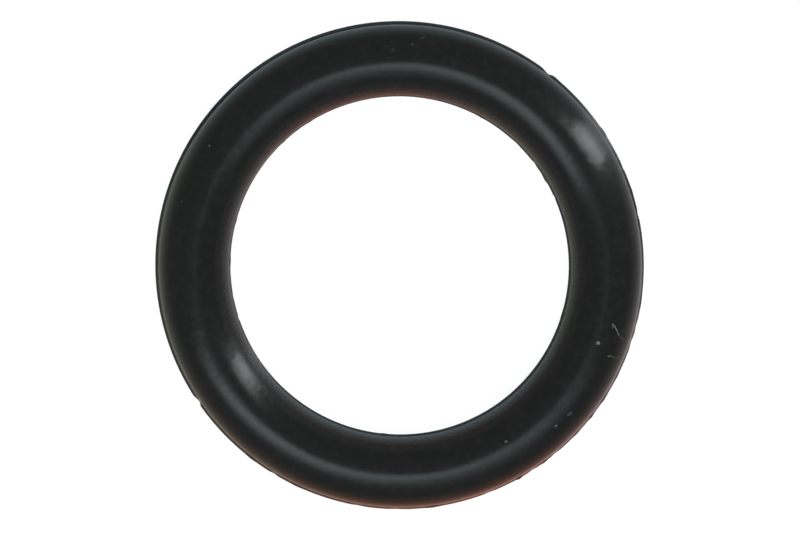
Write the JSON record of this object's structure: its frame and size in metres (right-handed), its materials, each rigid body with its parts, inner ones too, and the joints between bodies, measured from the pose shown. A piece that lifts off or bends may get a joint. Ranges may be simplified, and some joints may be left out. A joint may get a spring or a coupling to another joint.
{
  "type": "o-ring gasket",
  "caption": "Black rubber O-ring of round section with thin parting-line flash, the ring gasket that seals a water pump's neck or port.",
  "frame": {"origin": "centre of the ring's opening, on the plane that the ring lies on", "axes": "+Z along the ring's axis, up from the plane that it lies on; +X to the right of the picture and +Y to its top"},
  "size_m": [0.0232, 0.0232, 0.0034],
  "materials": {
    "rubber": "near-black moulded rubber, satin, faintly dusty"
  },
  "bodies": {
    "root": {"o_ring": "rubber"}
  },
  "joints": []
}
